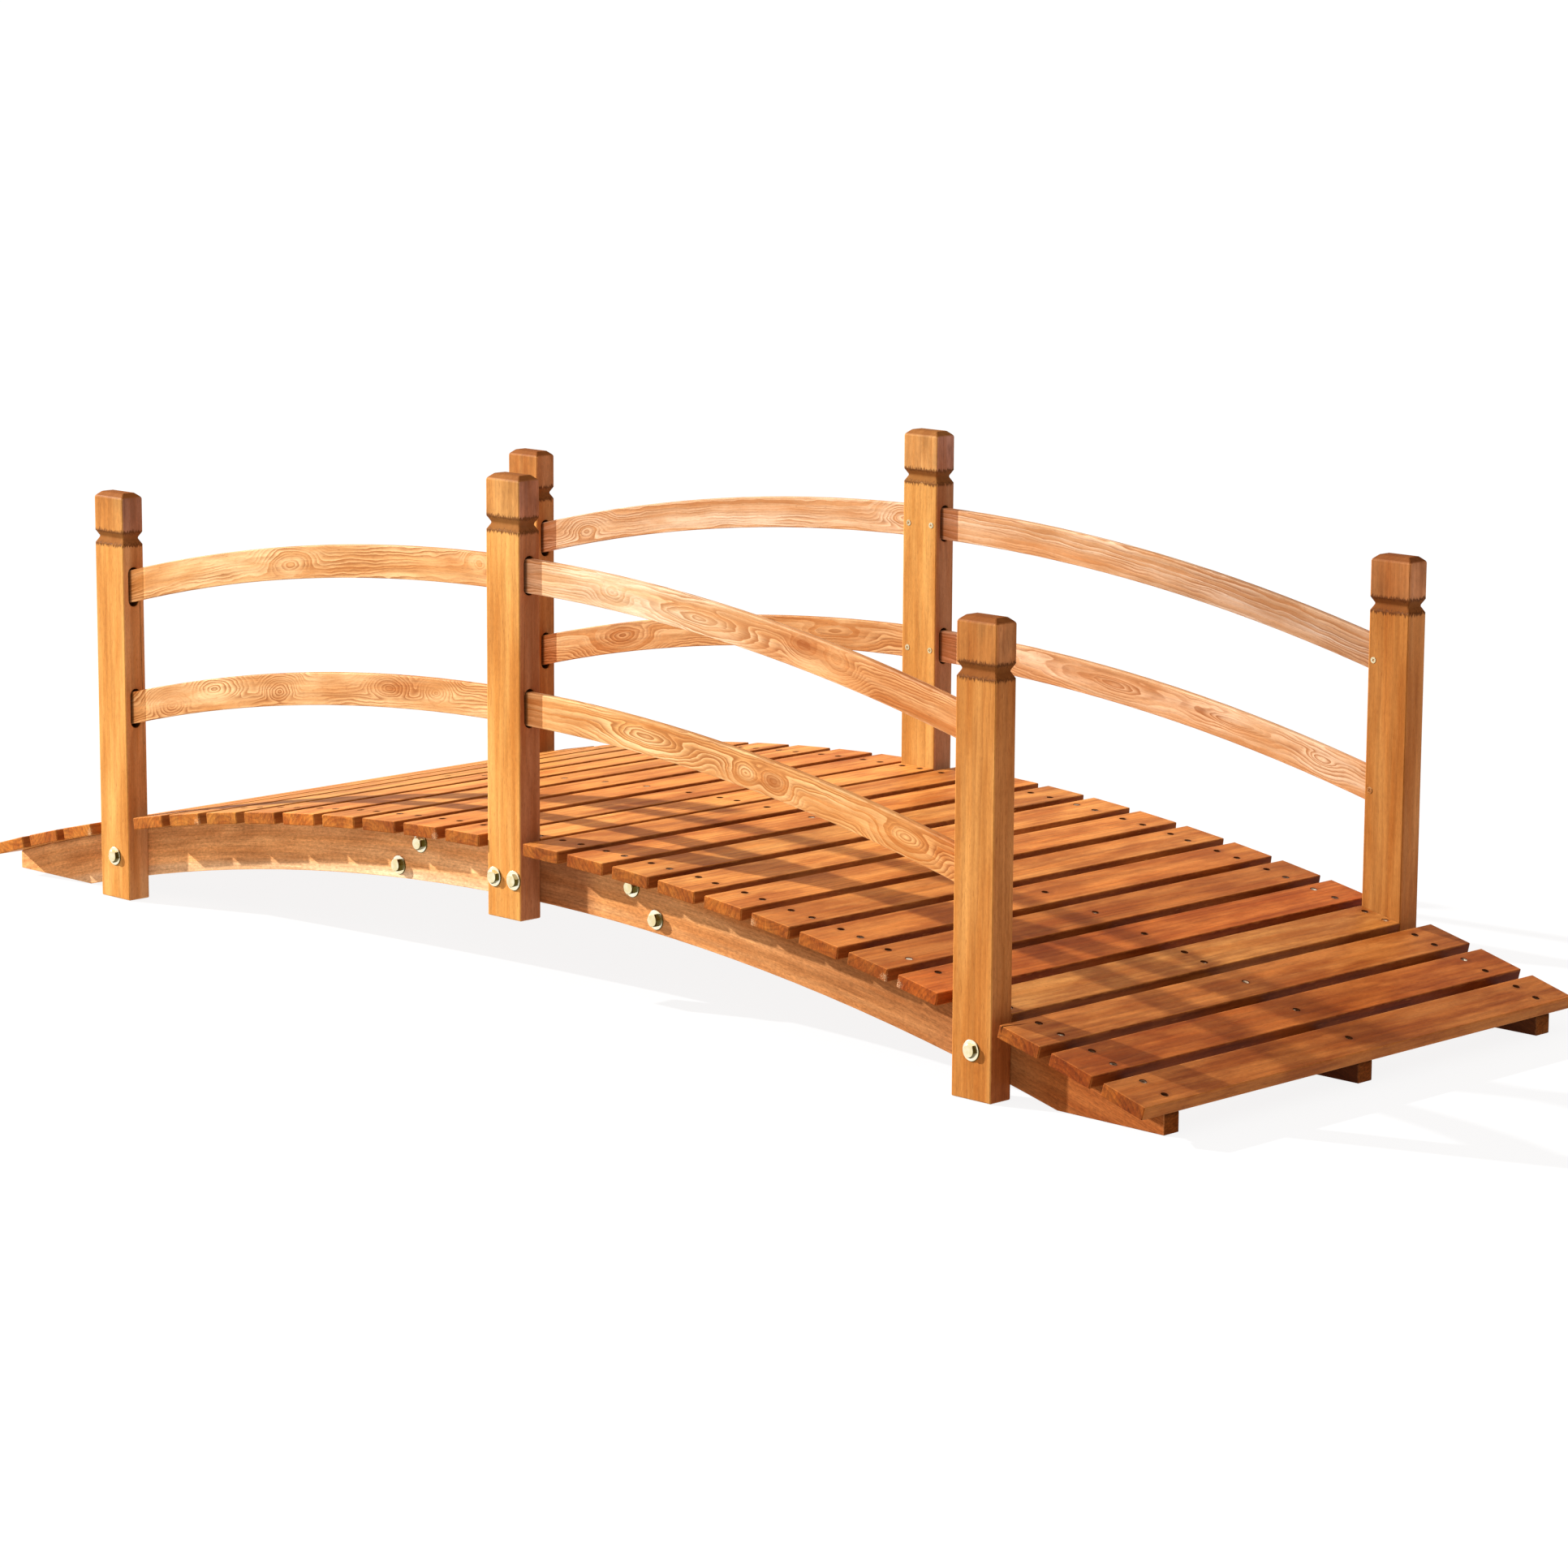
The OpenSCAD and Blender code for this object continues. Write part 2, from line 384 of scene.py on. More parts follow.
    def looped_depth(self, pith, loops):
        """Depth whose rings run along a flat-sawn face and close into loops around its eyes."""
        g = self.g
        tilt, base, lean = pith
        through_share, eye_round, eye_blend = 0.5, 3.0, 9.0
        depth = g.math("MULTIPLY_ADD", self.across, tilt, base)
        depth = g.math("MULTIPLY_ADD", self.through, through_share, depth)
        depth = g.math("MULTIPLY_ADD", self.along, lean, depth)
        for along, rim, ratio, *knotty in loops:
            du = g.math("MULTIPLY", g.math("SUBTRACT", self.along, along), ratio)
            dv = g.math("SUBTRACT", self.across, rim)
            far = g.squares(du, dv)
            eye = g.math("SQRT", g.math("ADD", far, eye_round))
            depth = g.math("SMOOTH_MIN", depth, eye, eye_blend)
            if knotty:
                self.add_knot(g.smooth(far, 6.0, 90.0, 1.0, 0.0))
        return depth

    def rings(self, depth, eyes, warp):
        """Number of rings on the way to a depth, warped, swirled around the eyes and unevenly spaced."""
        g, look = self.g, self.look
        depth = g.math("MULTIPLY_ADD", self.swing(warp), look.warp * 2, depth)
        depth = g.math("MULTIPLY_ADD", self.swing(RIPPLE), look.spacing * 0.4, depth)
        for along, rim, height, long, wide, *knotty in eyes:
            hill = self.bump_at(along, rim, long, wide)
            depth = g.math("MULTIPLY_ADD", hill, height, depth)
            if knotty:
                self.add_knot(g.smooth(hill, 0.72, 0.97))
        rings = g.math("DIVIDE", depth, look.spacing)
        walk = g.node("CombineXYZ", {0: g.math("MULTIPLY", rings, 0.31), 1: self.seed * 2.7}).outputs[0]
        return g.math("MULTIPLY_ADD", g.math("SUBTRACT", g.noise(walk, 1.0), 0.5), 2.2, rings)

    def paint_rings(self, rings, looped):
        """Blotched ground, with a pale and a dark part in each ring."""
        g, look = self.g, self.look
        turn = g.math("FRACT", rings)
        self.line = g.math("MULTIPLY", g.smooth(turn, look.sharp, 0.86),
                           g.smooth(turn, 0.88, 0.98, 1.0, 0.0))
        pale = g.math("ADD", g.smooth(turn, 0.0, 0.35, 1.0, 0.0), g.smooth(turn, 0.92, 1.0))
        faintest = look.contrast * (LOOP_FAINT if looped else FAINT)
        patchy = g.smooth(self.field(PATCHY), 0.36, 0.64, faintest, look.contrast)
        pale_share = g.math("MULTIPLY", g.math("MULTIPLY", pale, patchy), 0.55)

        soft = 0.22 / look.blotch
        blotch = g.smooth(self.field(BLOTCH._replace(long=look.run)), 0.5 - soft, 0.5 + soft)
        self.colour = g.mix(blotch, self.toned(look.light), self.toned(look.mid))
        self.colour = g.mix(pale_share, self.colour, self.toned(look.light, 1.12))
        if looped:
            ring_number = g.math("ADD", g.math("FLOOR", rings), self.seed * 17.3)
            band = g.node("TexWhiteNoise", {"W": ring_number}, noise_dimensions="1D").outputs["Value"]
            self.tint(g.smooth(band, 0.3, 1.0), BAND_TINT)
        self.tint(g.smooth(self.field(STAIN), 0.38, 0.68), STAIN_TINT)
        self.darken(g.math("MULTIPLY", self.line, patchy), 1.0)

    def paint_fibres(self):
        """Fine fibres, long streaks, fuzz, flecks and the dark of knots."""
        g, look = self.g, self.look
        self.fine = self.field(FIBRE)
        self.vary(self.fine, 0.3, look.fibre)
        self.vary(self.field(STREAK), 0.25, look.fibre * 0.7)
        self.vary(self.field(FUZZ), 0.25, look.fuzz)
        fleck = g.smooth(self.field(FLECK), 0.68, 0.78)
        self.darken(g.math("MULTIPLY", fleck, look.fleck), 0.8)
        if self.knot is not None:
            self.darken(g.math("MULTIPLY", self.knot, 0.5), 1.0)

    def paint_ends(self):
        """Darker, torn tone where the grain is cut across."""
        g, gain = self.g, self.look.end_gain
        shift = (self.seed * 3.1, self.seed * 1.7, 0.0)
        torn = g.node("VectorMath", {0: self.grain, 1: TORN_SCALE, 2: shift}, operation="MULTIPLY_ADD")
        tone = g.linear(g.noise(torn.outputs[0], 4.0, 0.68), 0.25, 0.75, gain * 0.66, gain * 1.34)
        tone = g.math("MULTIPLY_ADD", self.line, -0.06, tone)
        cut = g.tint(1.0, g.scale(self.colour, tone), self.end_tint)
        self.colour = g.mix(self.end, self.colour, cut)

    def edge(self):
        """Distance from the nearest edge of the solid, in millimetres."""
        g = self.g
        gaps = [g.math("SUBTRACT", half, g.math("ABSOLUTE", part))
                for half, part in zip(self.place.half, (self.along, self.across, self.through))]
        low = g.math("MINIMUM", gaps[0], gaps[1])
        high = g.math("MAXIMUM", gaps[0], gaps[1])
        return g.math("MAXIMUM", low, g.math("MINIMUM", high, gaps[2]))

    def wear_edges(self):
        """Paler, rubbed edges."""
        g, look = self.g, self.look
        ragged = g.math("MULTIPLY_ADD", self.swing(RAGGED_EDGE), 7.0, self.edge())
        worn = g.math("MULTIPLY", g.smooth(ragged, 0.2, 2.2, 1.0, 0.0), look.wear)
        worn = g.math("MULTIPLY", worn, g.math("SUBTRACT", 1.0, self.end))
        self.colour = g.mix(worn, self.colour, rgba(look.light, self.gain * 1.25, self.red * 0.5))

    def finish(self):
        g, look = self.g, self.look
        self.wear_edges()
        rough = g.math("MULTIPLY_ADD", self.fine, FIBRE_ROUGH, look.rough - FIBRE_ROUGH / 2)
        rough = g.math("MULTIPLY_ADD", self.end, END_ROUGH, rough)
        if self.coarse is not None:
            rough = g.math("MULTIPLY_ADD", self.coarse, TORN_ROUGH, rough)
        height = g.math("MULTIPLY_ADD", self.line, LINE_HEIGHT, self.fine)
        bump = g.node("Bump", {"Height": height, "Strength": BUMP_STRENGTH, "Distance": BUMP_METRES})
        return g.finish({"Base Color": self.colour, "Roughness": rough, "Normal": bump.outputs[0],
                         "Specular IOR Level": look.gloss})


def post_material(name, seed, pith, post):
    low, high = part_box(name)
    half_length = (high.z - low.z) / 2 / MM
    half = (half_length, POST_W / 2, POST_D / 2)
    place = Place((low + high) / 2, 0.0, (2, 0, 1), half, None)
    wood = Wood(name + "_wood", POST_LOOK, place, seed, pith, post.gain, post.red, post.eyes)
    g = wood.g
    fray = g.math("MULTIPLY", wood.swing(FRAY), 16.0)
    groove = half_length - BEVEL_H - HEAD_H - GROOVE_H / 2
    above_groove = g.math("SUBTRACT", wood.along, groove)
    reach = g.math("ABSOLUTE", above_groove)
    outside = g.math("ADD", g.math("SUBTRACT", reach, GROOVE_H / 2), fray)
    inside = g.smooth(outside, -2.0, 2.5, 1.0, 0.0)
    rim = g.smooth(g.math("ABSOLUTE", g.math("SUBTRACT", outside, 0.3)), 0.4, 3.0, 1.0, 0.0)
    # The head is smeared with stain
    head = g.smooth(above_groove, 2.0, 9.0)
    smear = g.smooth(wood.field(SMEAR), 0.35, 0.70, 0.88, 0.62)
    stained = g.tint(1.0, g.scale(wood.colour, smear), post.head)
    wood.colour = g.mix(head, wood.colour, stained)
    # The right side, away from the sun, has its own tint: partly the wood's tone, partly painted light and
    # shade
    right = g.smooth(wood.facing((1.0, 0.0, 0.0)), 0.6, 0.9)
    wood.tint(right, post.lee)
    wood.tint(g.math("MULTIPLY", right, head), post.head_lee)
    # Painted shade at the foot of the right side
    if post.damp:
        foot = g.smooth(g.math("ADD", wood.along, half_length), 70.0, 120.0, 1.0, 0.0)
        wood.tint(g.math("MULTIPLY", right, foot), post.damp)
    # The groove is torn and dark, most of all at its frayed rim
    wood.darken(g.math("MULTIPLY", inside, 0.80), 0.72)
    wood.darken(g.math("MULTIPLY", rim, 0.85), 0.42)
    # Painted shade inside the mortises
    depth = g.math("MINIMUM", g.math("SUBTRACT", POST_W / 2, g.math("ABSOLUTE", wood.across)),
                   g.math("SUBTRACT", POST_D / 2, g.math("ABSOLUTE", wood.through)))
    off_groove = g.smooth(reach, GROOVE_H / 2, GROOVE_H / 2 + 2.0)
    off_ends = g.smooth(g.math("ABSOLUTE", wood.along), half_length - 9.0, half_length - 7.0, 0.92, 0.0)
    mortise_shade = g.math("MULTIPLY", g.smooth(depth, 0.5, 2.5), off_groove)
    wood.darken(g.math("MULTIPLY", mortise_shade, off_ends), 0.24)
    # The bevel's lower edge is dark
    below_bevel = g.math("SUBTRACT", half_length - BEVEL_H, wood.along)
    below_bevel = g.math("MULTIPLY_ADD", fray, 0.12, below_bevel)
    wood.darken(g.smooth(below_bevel, -0.9, 0.9, 0.62, 0.0), 0.95)
    wood.coarse = inside
    return wood.finish()


def arc_wood(name, look, arc, half_across, half_through, seed, pith, gain, red, loops=None):
    """Wood of an arched piece, with the eyes of its grain placed by shares of its length."""
    low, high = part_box(name)
    half_length = (high.x - low.x) / 2 / MM
    place = Place((low + high) / 2, 0.0, (0, 2, 1), (half_length, half_across, half_through), arc)
    if loops is not None:
        loops = [((share - 0.5) * 2 * half_length, *rest) for share, *rest in loops]
    return Wood(name + "_wood", look, place, seed, pith, gain, red, loops=loops)


def rail_material(name, seed, pith, rail):
    rise = UPPER_RISE if "upper" in name else LOWER_RISE
    arc = (CROWN_Z + rise - RAIL_R, RAIL_R - RAIL_H / 2)
    wood = arc_wood(name, rail.look, arc, RAIL_H / 2, RAIL_T / 2, seed, pith, rail.gain, rail.red, rail.loops)
    g, half_length = wood.g, wood.place.half[0]
    for number, (share, rim, long, wide, strength) in enumerate(rail.stains):
        spot = wood.bump_at((share - 0.5) * 2 * half_length, rim, long, wide)
        own_field = RAIL_STAIN._replace(salt=RAIL_STAIN.salt + number)
        ragged = g.smooth(wood.field(own_field), 0.34, 0.60, 0.55, 1.0)
        spot = g.math("MULTIPLY", g.math("MULTIPLY", spot, ragged), strength)
        wood.tint(spot, RAIL_STAIN_TINT)
    # Painted shade where the ends go into the posts, and painted light beside the left post that lifts its
    # cast shadow
    seat = half_length - MORTISE_DEEP
    seat_shade = g.smooth(g.math("ABSOLUTE", wood.along), seat - 3.0, seat)
    wood.darken(g.math("MULTIPLY", seat_shade, 0.80), 0.35)
    from_left = g.math("ADD", wood.along, half_length)
    root = g.smooth(from_left, MORTISE_DEEP + 22.0, MORTISE_DEEP + 32.0, 1.0, 0.0)
    wood.tint(root, FRONT_LEFT_SHADOW_LIFT_TINT if name.endswith("front_left") else RAIL_SHADOW_LIFT_TINT)
    # Tint towards the right: the wood's tone, and on the upper back right rail partly a painted shadow
    wood.patch("along", -0.4, 0.5, rail.fade)
    return wood.finish()


def beam_material(name, thick, seed, pith, gain, red, patches):
    arc = (ARCH_Z, STRINGER_TOP_R - STRINGER_D / 2)
    half_across = STRINGER_D / 2
    wood = arc_wood(name, BEAM_LOOK, arc, half_across, thick / 2, seed, pith, gain, red)
    g = wood.g
    wood.colour = g.scale(wood.colour, g.smooth(wood.across, half_across - 5.0, half_across, 1.0, 0.6))
    # Painted shade on the sides under the deck
    for way in {"front": (1,), "back": (-1,)}.get(name.split("_")[1], (-1, 1)):
        wood.tint(g.smooth(wood.facing((0.0, way, 0.0)), 0.55, 0.9), UNDER_DECK_SHADE_TINT)
    for patch in patches:
        wood.patch(*patch)
    return wood.finish()


# The far boards, left of this place, have brighter ends
FAR_END_PLACE, FAR_END_GAIN = -3, 1.3


def board_material(name, place_number, seed, pith, gain, red, frayed):
    angle = place_angle(place_number)
    low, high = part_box(name)
    middle_r = (DECK_R - BOARD_T / 2) * MM
    centre = Vector((middle_r * math.sin(angle), 0.0, ARCH_Z * MM + middle_r * math.cos(angle)))
    half = ((high.y - low.y) / 2 / MM, BOARD_W / 2, BOARD_T / 2)
    bright = FAR_END_GAIN if place_number < FAR_END_PLACE else 1.0
    end_tint = tuple(part * bright for part in BOARD_END_TINT)
    place = Place(centre, angle, (1, 0, 2), half, None)
    wood = Wood(name + "_wood", DECK_LOOK, place, seed, pith, gain, red, end_tint=end_tint)
    g = wood.g
    # Painted shade on the sides that face a gap
    side = wood.facing((math.cos(angle), 0.0, -math.sin(angle)))
    for way in (-1, 1):
        if place_number != way * HALF_BOARDS:
            wood.tint(g.smooth(g.math("MULTIPLY", side, way), 0.55, 0.9), GAP_SIDE_SHADE_TINT)
    # Stain gathers round the screws
    du = g.math("SUBTRACT", g.math("ABSOLUTE", wood.along), SCREW_Y)
    dv = g.math("SUBTRACT", g.math("ABSOLUTE", wood.across), SCREW_APART)
    near = g.math("SQRT", g.math("MINIMUM", g.squares(du, dv), g.squares(wood.along, wood.across)))
    near = g.math("MULTIPLY_ADD", wood.swing(SCREW_STAIN), 14.0, near)
    wood.darken(g.smooth(near, 3.0, 10.0, 0.34, 0.0), 1.0)
    # Some stretches are scuffed
    scuff = g.math("MULTIPLY", g.smooth(wood.field(SCUFF), 0.62, 0.74, 0.0, 0.5),
                   g.smooth(wood.field(SCUFFED_AREA), 0.45, 0.65))
    wood.colour = g.mix(scuff, wood.colour, rgba(DECK_LOOK.light, gain * 1.3, red - 0.12))
    if frayed:
        # A pale chip at one corner of the front end
        corner = half[1] * (1 if int(seed) % 3 else -1)
        du = g.math("DIVIDE", g.math("ADD", wood.along, half[0]), 3.0)
        dv = g.math("DIVIDE", g.math("SUBTRACT", wood.across, corner), 9.0)
        dw = g.math("DIVIDE", g.math("ADD", wood.through, 4.0), 7.0)
        far = g.math("ADD", g.squares(du, dv), g.math("MULTIPLY", dw, dw))
        ragged = g.math("MULTIPLY_ADD", wood.swing(CHIP), 8.0, far)
        wood.colour = g.mix(g.smooth(ragged, -0.4, 0.5, 0.6, 0.0), wood.colour, CHIP_COLOUR)
    return wood.finish()


# Rounding of the edges in millimetres, by kind of piece
POST_EDGE, RAIL_EDGE, BEAM_EDGE, BOARD_EDGE = 1.6, 1.2, 1.0, 1.2
WELD_METRES = 0.00001
FLAT_DEGREES, SHARP_DEGREES = 0.3, 30


def dress(name, material, edge_width):
    """Gives a solid its material and slightly rounded edges."""
    solid = nodes[name]
    solid.data.materials.clear()
    solid.data.materials.append(material)
    weld = solid.modifiers.new("weld", "WELD")
    weld.merge_threshold = WELD_METRES
    flat = solid.modifiers.new("flat", "DECIMATE")
    flat.decimate_type = "DISSOLVE"
    flat.angle_limit = math.radians(FLAT_DEGREES)
    bevel = solid.modifiers.new("edges", "BEVEL")
    bevel.width = edge_width * MM
    bevel.segments = 2
    bevel.limit_method = "ANGLE"
    bevel.angle_limit = math.radians(SHARP_DEGREES)
    bevel.use_clamp_overlap = False


dice = random.Random(11)

# First number of the grain's seeds, by kind of piece
POST_SEED, RAIL_SEED, BEAM_SEED, BOARD_SEED = 1.0, 11.0, 31.0, 61.0

# Marks an eye of the grain as a knot
KNOT = "knot"

# Posts: brightness, redness, tints of the side that faces right, of the head and of its right side, and of
# painted shade at the foot of the right side. The right side is away from the sun, and its tints are partly
# the wood's tone and partly painted light and shade. Their eyes are swirls of the grain: height from the
# middle, place across, strength, length and width
Post = namedtuple("Post", "gain red lee head head_lee damp eyes",
                  defaults=((1.0, 0.96, 1.02), (1.28, 1.42, 1.75), None, ()))
POSTS = {
    "post_front_left": Post(1.10, -0.08, (1.06, 1.04, 1.6), (1.0, 0.91, 0.85), (0.74, 0.80, 1.3)),
    "post_front_middle": Post(1.06, -0.08, (0.83, 0.69, 1.2), eyes=((150.0, 6.0, 6.0, 60.0, 9.0),)),
    "post_front_right": Post(0.82, 0.03, (1.16, 1.04, 1.2), damp=(0.64, 0.47, 0.40),
                             eyes=((-238.0, 4.0, 9.0, 16.0, 7.0),)),
    "post_back_left": Post(0.95, 0.0, (0.9, 0.8, 1.0), eyes=((60.0, -8.0, 8.0, 22.0, 8.0, KNOT),)),
    "post_back_middle": Post(1.00, -0.15, (0.88, 0.80, 1.5), (1.13, 1.16, 1.45), (1.1, 1.1, 1.2)),
    "post_back_right": Post(0.70, 0.07, (1.45, 1.45, 1.9), (1.10, 1.12, 1.6), (1.1, 1.15, 1.2)),
}
for index, (name, post) in enumerate(sorted(POSTS.items())):
    pith = (dice.uniform(-60, -30), dice.uniform(25, 45), dice.uniform(-0.02, 0.02))
    dress(name, post_material(name, index + POST_SEED, pith, post), POST_EDGE)

# Rails: look, brightness, redness and the tint taken on towards the right, which is the wood's tone and on
# the upper back right rail partly a painted shadow. Their loops are eyes of the grain: share of the length,
# place
# across and roundness. Their stains: share of the length, place across, half length, half width and strength
Rail = namedtuple("Rail", "look gain red fade loops stains", defaults=((), ()))
RAILS = {
    "rail_upper_front_left": Rail(
        RAIL_LOOK, 0.94, 0.0, (0.98, 0.94, 0.90),
        loops=((0.464, -2.0, 0.42), (0.95, 6.0, 0.70)),
        stains=((0.44, -10.0, 40.0, 12.0, 0.5), (0.88, 10.0, 30.0, 14.0, 0.5))),
    "rail_lower_front_left": Rail(
        RAIL_LOOK, 0.91, 0.03, (1.06, 1.08, 1.12),
        loops=((0.13, -7.0, 0.45), (0.25, 7.0, 0.35), (0.43, -2.0, 0.60), (0.72, 4.0, 0.45),
               (0.84, 3.0, 0.60)),
        stains=((0.12, -6.0, 40.0, 16.0, 0.7), (0.42, -2.0, 34.0, 18.0, 0.6), (0.62, -2.0, 70.0, 22.0, 0.3),
                (0.74, 8.0, 44.0, 14.0, 1.0))),
    "rail_upper_front_right": Rail(
        PALE_RAIL_LOOK, 0.98, -0.03, (0.89, 0.68, 0.47),
        loops=((0.22, 2.0, 0.50), (0.42, -2.0, 0.18), (0.65, 8.0, 0.60, KNOT), (0.72, 6.0, 0.60)),
        stains=((0.65, 8.0, 30.0, 12.0, 1.0), (0.58, -12.0, 40.0, 8.0, 0.6), (0.85, 0.0, 120.0, 22.0, 0.5),
                (0.17, -8.0, 24.0, 10.0, 0.4))),
    "rail_lower_front_right": Rail(
        RAIL_LOOK, 1.0, -0.04, (0.94, 0.86, 0.76),
        loops=((0.30, 2.0, 0.25), (0.525, -2.0, 0.60), (0.585, -1.0, 0.60, KNOT), (0.87, 2.0, 0.45)),
        stains=((0.585, -2.0, 28.0, 16.0, 1.0), (0.95, 6.0, 36.0, 18.0, 1.0), (0.46, 0.0, 80.0, 22.0, 0.3))),
    "rail_upper_back_left": Rail(
        PALE_RAIL_LOOK, 0.82, 0.02, (1.08, 1.10, 1.12),
        loops=((0.14, -5.0, 0.45), (0.97, 2.0, 0.50))),
    "rail_lower_back_left": Rail(
        RAIL_LOOK, 0.82, 0.02, PLAIN,
        loops=((0.24, 3.0, 0.38), (0.80, 3.0, 0.20)),
        stains=((0.24, 4.0, 60.0, 16.0, 0.5),)),
    # Its darker tint towards the right is partly a painted shadow
    "rail_upper_back_right": Rail(PALE_RAIL_LOOK, 0.86, 0.03, (0.76, 0.78, 0.88)),
    "rail_lower_back_right": Rail(
        PALE_RAIL_LOOK, 0.91, 0.05, PLAIN,
        loops=((0.42, 3.0, 0.13), (0.68, 5.0, 0.14), (0.88, 4.0, 0.35)),
        stains=((0.40, 4.0, 80.0, 8.0, 0.6), (0.62, 4.0, 50.0, 8.0, 0.6))),
}
for index, (name, rail) in enumerate(sorted(RAILS.items())):
    pith = (dice.choice((-1, 1)) * dice.uniform(0.7, 0.9), dice.uniform(22, 30), dice.uniform(-0.03, 0.03))
    dress(name, rail_material(name, index + RAIL_SEED, pith, rail), RAIL_EDGE)

# Tones of some stringers: brightness and redness. The centre and back ones at the right are darkened by
# painted shade under the deck
BEAM_TONES = {
    "stringer_front_left": (1.85, -0.14),
    "stringer_front_right": (1.50, -0.14),
    "stringer_back_right": (0.80, 0.15),
    "stringer_centre_right": (0.64, 0.30),
}
# Stretches of a stringer in another tone: the way they run, where the tint starts and is full in shares of
# the half size, and the tint
BEAM_PATCHES = {
    "stringer_front_left": (("along", 0.1, 0.9, (1.10, 1.25, 1.45)),
                            # Lower band: the wood's tone and painted light where the sun falls
                            ("across", -0.45, -0.75, (1.0, 1.26, 1.75))),
    # Beside the middle post: the post's painted shadow. Then the wood's tone darkens towards the toe
    "stringer_front_right": (("along", -0.72, -0.80, (0.57, 0.47, 0.46)),
                             ("along", -0.55, 0.25, (0.60, 0.50, 0.43)),
                             ("along", 0.52, 0.70, (0.82, 0.59, 0.40))),
}
BEAMS = sorted(name for name in nodes if name.startswith(("stringer", "splice")))
for index, name in enumerate(BEAMS):
    thick = STRINGER_T if name.startswith("stringer") else SPLICE_T
    pith = (dice.uniform(-90, -50), dice.uniform(30, 60), dice.uniform(-0.015, 0.015))
    gain, red = dice.uniform(0.94, 1.06), dice.uniform(0.0, 0.05)
    if name in BEAM_TONES:
        share, red = BEAM_TONES[name]
        gain *= share
    material = beam_material(name, thick, index + BEAM_SEED, pith, gain, red, BEAM_PATCHES.get(name, ()))
    dress(name, material, BEAM_EDGE)

# Boards with a look of their own, by number
CRACKED_BOARD = 25
CRACKED_LESS_RED = 0.08
PALE_BOARDS = {4: 1.28, 14: 1.18, 24: 1.08}
PALE_RED = -0.06
FRAYED_BOARDS = (3, 6, 12, 20, 22, 23)
# The near end is darker and redder and the far end less red: the place where that starts, the number of
# boards until it is full, and how much it is
NEAR_FROM, NEAR_BOARDS, NEAR_DARK, NEAR_RED = 5, 3, 0.20, 0.21
FAR_FROM, FAR_BOARDS, FAR_LESS_RED = 1, 9, 0.12
PLACES = range(-HALF_BOARDS, HALF_BOARDS + 1)


def board_number(place):
    return place + HALF_BOARDS + 1


for place in PLACES:
    number = board_number(place)
    name = f"board_{number}"
    pith = (dice.uniform(-50, 50), dice.choice((-1, 1)) * dice.uniform(18, 60), dice.uniform(-0.03, 0.03))
    near_end = min(1.0, max(0.0, place - NEAR_FROM) / NEAR_BOARDS)
    far_end = min(1.0, max(0.0, FAR_FROM - place) / FAR_BOARDS)
    gain = dice.uniform(0.90, 1.10) * (1 - NEAR_DARK * near_end)
    red = dice.uniform(-0.06, 0.08) + NEAR_RED * near_end - FAR_LESS_RED * far_end
    if number == CRACKED_BOARD:
        red -= CRACKED_LESS_RED
    if number in PALE_BOARDS:
        gain, red = gain * PALE_BOARDS[number], PALE_RED
    material = board_material(name, place, number + BOARD_SEED, pith, gain, red, number in FRAYED_BOARDS)
    dress(name, material, BOARD_EDGE)


def outline(count, radius):
    """Points of a regular outline."""
    angles = [2 * math.pi * i / count for i in range(count)]
    return [(radius * math.cos(angle), radius * math.sin(angle)) for angle in angles]


def scaled(flat, share):
    return [(x * share, y * share) for x, y in flat]


def on_circle(flat, radius):
    """An outline's points, moved in or out to a circle."""
    return [(x / math.hypot(x, y) * radius, y / math.hypot(x, y) * radius) for x, y in flat]


class Shape:
    """Points and faces in millimetres, with Z pointing out of the surface that the piece sits on."""

    def __init__(self):
        self.points, self.faces = [], []

    def ring(self, flat, z):
        start = len(self.points)
        heights = z if isinstance(z, list) else [z] * len(flat)
        self.points += [(x, y, h) for (x, y), h in zip(flat, heights)]
        return list(range(start, len(self.points)))

    def loft(self, rings):
        """Faces between rings that follow one another, closed at both ends."""
        for low, high in zip(rings, rings[1:]):
            self.faces += list(zip(low, low[1:] + low[:1], high[1:] + high[:1], high))
        self.faces += [tuple(reversed(rings[0])), tuple(rings[-1])]

    def turned(self, profile, count):
        """A turned form from (radius, height) pairs."""
        self.loft([self.ring(outline(count, radius), z) for radius, z in profile])

    def add(self, other, lift):
        start = len(self.points)
        self.points += [(x, y, z + lift) for x, y, z in other.points]
        self.faces += [tuple(i + start for i in face) for face in other.faces]


HEX_SIDES = 6
SIDE_STEPS = 4
# Corners of a hexagon head: where they start to fall off and the top's edge, in shares of the half width
# over the flats, and the slope
CORNER_START, TOP_EDGE, CORNER_SLOPE = 0.97, 0.94, 0.55


def hex_outline(inner):
    """Outline of a hexagon with several points a side."""
    flat = []
    corners = outline(HEX_SIDES, inner / math.cos(math.pi / HEX_SIDES))
    for (x0, y0), (x1, y1) in zip(corners, corners[1:] + corners[:1]):
        for step in range(SIDE_STEPS):
            share = step / SIDE_STEPS
            flat.append((x0 + (x1 - x0) * share, y0 + (y1 - y0) * share))
    return flat


def hex_block(inner, height, both_ends=False):
    """Hexagon head or nut whose corners are turned off."""
    shape = Shape()
    flat = hex_outline(inner)
    drop = [(math.hypot(x, y) - inner * CORNER_START) * CORNER_SLOPE for x, y in flat]
    shape.loft([shape.ring(flat, [d if both_ends else 0.0 for d in drop]),
                shape.ring(flat, [height - d for d in drop]),
                shape.ring(on_circle(flat, inner * TOP_EDGE), height)])
    return shape


